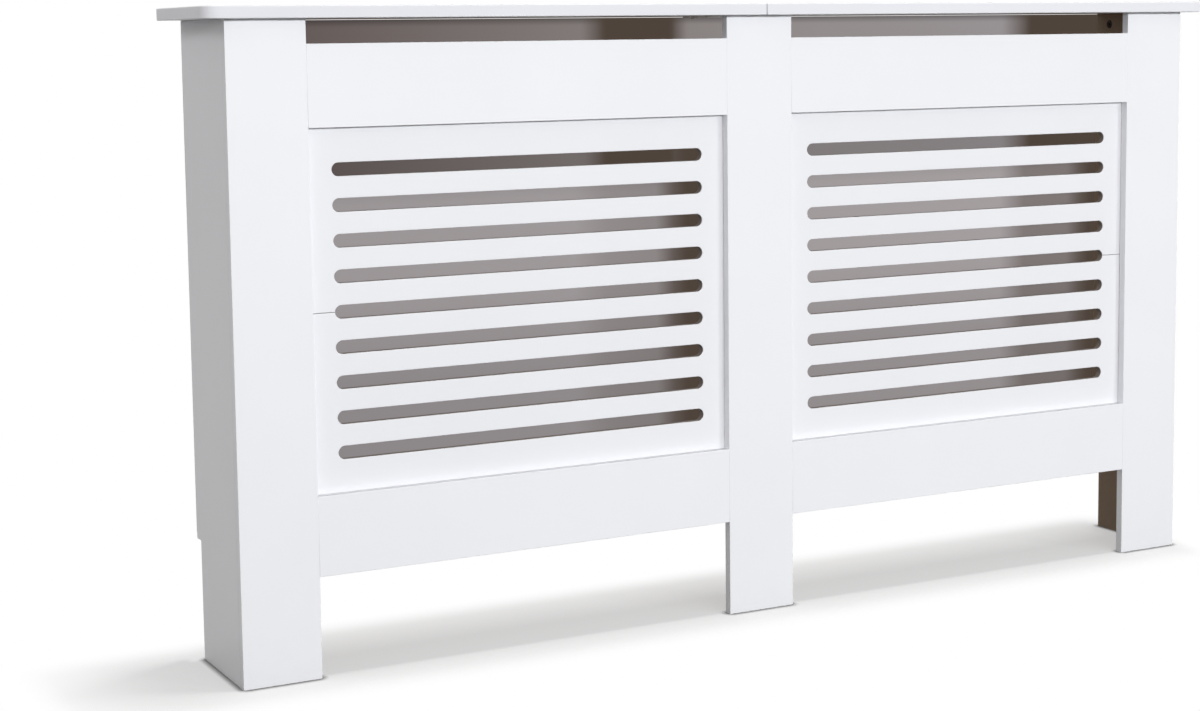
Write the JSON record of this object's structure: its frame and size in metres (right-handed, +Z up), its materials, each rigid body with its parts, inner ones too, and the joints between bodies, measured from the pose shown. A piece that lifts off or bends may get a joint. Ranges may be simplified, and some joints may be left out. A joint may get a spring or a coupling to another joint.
{
  "type": "radiator cover cabinet",
  "caption": "White slatted radiator cover: a long shelf on panelled sides and a framed front with round-ended slots, open at the back and between the legs.",
  "frame": {"origin": "on the floor, below the middle of the shelf in length and depth", "axes": "+X along the length, to the right seen from the front; +Y from the front towards the wall; +Z up"},
  "size_m": [1.52, 0.19, 0.815],
  "materials": {
    "white_board": "satin white foil on fibreboard",
    "white_slat_board": "satin white foil on fibreboard",
    "zinc_fittings": "bright zinc plate",
    "beech_dowels": "plain beech"
  },
  "bodies": {
    "root": {"shelf_left": "white_board", "shelf_right": "white_board", "side_panel_left": "white_board", "side_panel_right": "white_board", "stile_left": "white_board", "stile_centre": "white_board", "stile_right": "white_board", "frieze_rail_left": "white_board", "lower_rail_left": "white_board", "frieze_rail_right": "white_board", "lower_rail_right": "white_board", "slat_panel_upper_left": "white_slat_board", "slat_panel_lower_left": "white_slat_board", "slat_panel_upper_right": "white_slat_board", "slat_panel_lower_right": "white_slat_board", "cam_lock_left_front": "zinc_fittings", "cam_bolt_left_front": "zinc_fittings", "cam_lock_left_rear": "zinc_fittings", "cam_bolt_left_rear": "zinc_fittings", "cam_lock_right_front": "zinc_fittings", "cam_bolt_right_front": "zinc_fittings", "cam_lock_right_rear": "zinc_fittings", "cam_bolt_right_rear": "zinc_fittings", "dowel_frieze_left_outer": "beech_dowels", "dowel_frieze_left_inner": "beech_dowels", "dowel_rail_left_outer": "beech_dowels", "dowel_rail_left_inner": "beech_dowels", "dowel_frieze_right_outer": "beech_dowels", "dowel_frieze_right_inner": "beech_dowels", "dowel_rail_right_outer": "beech_dowels", "dowel_rail_right_inner": "beech_dowels", "dowel_stile_left_lower": "beech_dowels", "dowel_stile_left_upper": "beech_dowels", "dowel_stile_right_lower": "beech_dowels", "dowel_stile_right_upper": "beech_dowels", "screw_upper_left_stile": "zinc_fittings", "screw_upper_left_centre": "zinc_fittings", "screw_upper_left_frieze_a": "zinc_fittings", "screw_upper_left_frieze_b": "zinc_fittings", "screw_lower_left_stile": "zinc_fittings", "screw_lower_left_centre": "zinc_fittings", "screw_lower_left_rail_a": "zinc_fittings", "screw_lower_left_rail_b": "zinc_fittings", "screw_upper_right_stile": "zinc_fittings", "screw_upper_right_centre": "zinc_fittings", "screw_upper_right_frieze_a": "zinc_fittings", "screw_upper_right_frieze_b": "zinc_fittings", "screw_lower_right_stile": "zinc_fittings", "screw_lower_right_centre": "zinc_fittings", "screw_lower_right_rail_a": "zinc_fittings", "screw_lower_right_rail_b": "zinc_fittings", "centre_angle": "zinc_fittings", "screw_angle_stile_left": "zinc_fittings", "screw_angle_shelf_left": "zinc_fittings", "screw_angle_stile_right": "zinc_fittings", "screw_angle_shelf_right": "zinc_fittings", "joining_plate": "zinc_fittings", "screw_plate_left": "zinc_fittings", "screw_plate_right": "zinc_fittings"}
  },
  "joints": []
}
